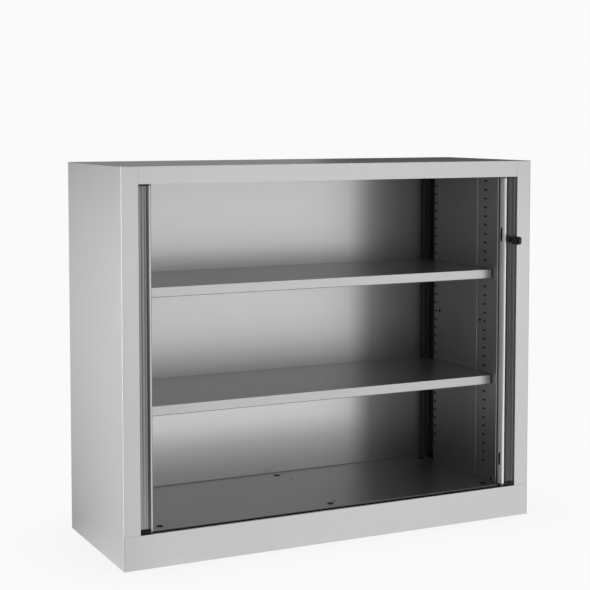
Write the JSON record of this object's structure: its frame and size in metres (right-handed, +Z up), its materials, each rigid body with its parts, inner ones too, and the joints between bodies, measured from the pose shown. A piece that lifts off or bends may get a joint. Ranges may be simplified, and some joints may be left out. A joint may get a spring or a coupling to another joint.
{
  "type": "tambour door cabinet",
  "caption": "Low steel office cupboard with ribbed tambour doors that slide sideways into the walls, adjustable shelves, a plinth base and a key lock on the meeting stile",
  "frame": {"origin": "on the floor, midway across the width, and midway between the tip of the key and the back", "axes": "+X to the cabinet's right as seen from the front, +Y from front to back, +Z up"},
  "size_m": [1.2, 0.477, 1],
  "materials": {
    "carcass_coat": "satin silver-grey powder coat on folded sheet steel",
    "lining_coat": "satin silver-grey powder coat on folded sheet steel",
    "shelf_coat": "satin silver-grey powder coat on folded sheet steel",
    "stile_aluminium": "fine-brushed anodised extrusion",
    "slat_plastic": "silver-grey extruded slats with fine ribs",
    "cap_plastic": "moulded grey plastic",
    "track_plastic": "black extruded plastic",
    "insert_plastic": "black moulded plastic",
    "key_plastic": "black moulded plastic bow",
    "lock_black": "black-plated die casting",
    "lock_zinc": "nickel-plated",
    "clip_steel": "zinc-plated",
    "foot_steel": "zinc-plated"
  },
  "bodies": {
    "cabinet": {"base_floor": "shelf_coat", "bottom_pan": "lining_coat", "ceiling_panel": "lining_coat", "foot_nuts": "foot_steel", "front_plinth": "carcass_coat", "inner_back_panel": "lining_coat", "left_curtain_slats": "slat_plastic", "left_front_pilaster": "lining_coat", "left_liner": "lining_coat", "left_lower_track": "track_plastic", "left_side_panel": "carcass_coat", "left_upper_track": "track_plastic", "lower_shelf": "shelf_coat", "lower_shelf_clips": "clip_steel", "outer_back_panel": "carcass_coat", "rear_plinth": "carcass_coat", "right_curtain_slats": "slat_plastic", "right_front_pilaster": "lining_coat", "right_liner": "lining_coat", "right_lower_track": "track_plastic", "right_side_panel": "carcass_coat", "right_upper_track": "track_plastic", "top_panel": "carcass_coat", "upper_pan": "lining_coat", "upper_shelf": "shelf_coat", "upper_shelf_clips": "clip_steel"},
    "left_door": {"left_stile": "stile_aluminium", "left_stile_caps": "cap_plastic", "left_catch_insert": "insert_plastic", "left_strike_plate": "lock_zinc"},
    "right_door": {"right_stile": "stile_aluminium", "right_stile_caps": "cap_plastic", "right_catch_insert": "insert_plastic", "lock_barrel": "lock_black"},
    "lock_plug": {"lock_core": "lock_black", "lock_hook": "lock_zinc"},
    "key": {"lock_key": "key_plastic"},
    "front_left_foot": {"front_left_foot": "foot_steel"},
    "front_right_foot": {"front_right_foot": "foot_steel"},
    "rear_left_foot": {"rear_left_foot": "foot_steel"},
    "rear_right_foot": {"rear_right_foot": "foot_steel"}
  },
  "joints": [
    {"name": "left_door_slide", "type": "slide", "parent": "cabinet", "child": "left_door", "axis": [1, 0, 0], "range_m": [0, 0.5185], "deforming": ["left_curtain_slats"]},
    {"name": "right_door_slide", "type": "slide", "parent": "cabinet", "child": "right_door", "axis": [-1, 0, 0], "range_m": [0, 0.5185], "deforming": ["right_curtain_slats"]},
    {"name": "lock_turn", "type": "hinge", "parent": "right_door", "child": "lock_plug", "pos_m": [0.535, -0.1915, 0.781], "axis": [0, -1, 0], "range_deg": [0, 90]},
    {"name": "key_pull", "type": "slide", "parent": "lock_plug", "child": "key", "axis": [0, -1, 0], "range_m": [0, 0.024]},
    {"name": "front_left_foot_screw", "type": "slide", "parent": "cabinet", "child": "front_left_foot", "axis": [0, 0, -1], "range_m": [0, 0.015]},
    {"name": "front_right_foot_screw", "type": "slide", "parent": "cabinet", "child": "front_right_foot", "axis": [0, 0, -1], "range_m": [0, 0.015]},
    {"name": "rear_left_foot_screw", "type": "slide", "parent": "cabinet", "child": "rear_left_foot", "axis": [0, 0, -1], "range_m": [0, 0.015]},
    {"name": "rear_right_foot_screw", "type": "slide", "parent": "cabinet", "child": "rear_right_foot", "axis": [0, 0, -1], "range_m": [0, 0.015]}
  ]
}
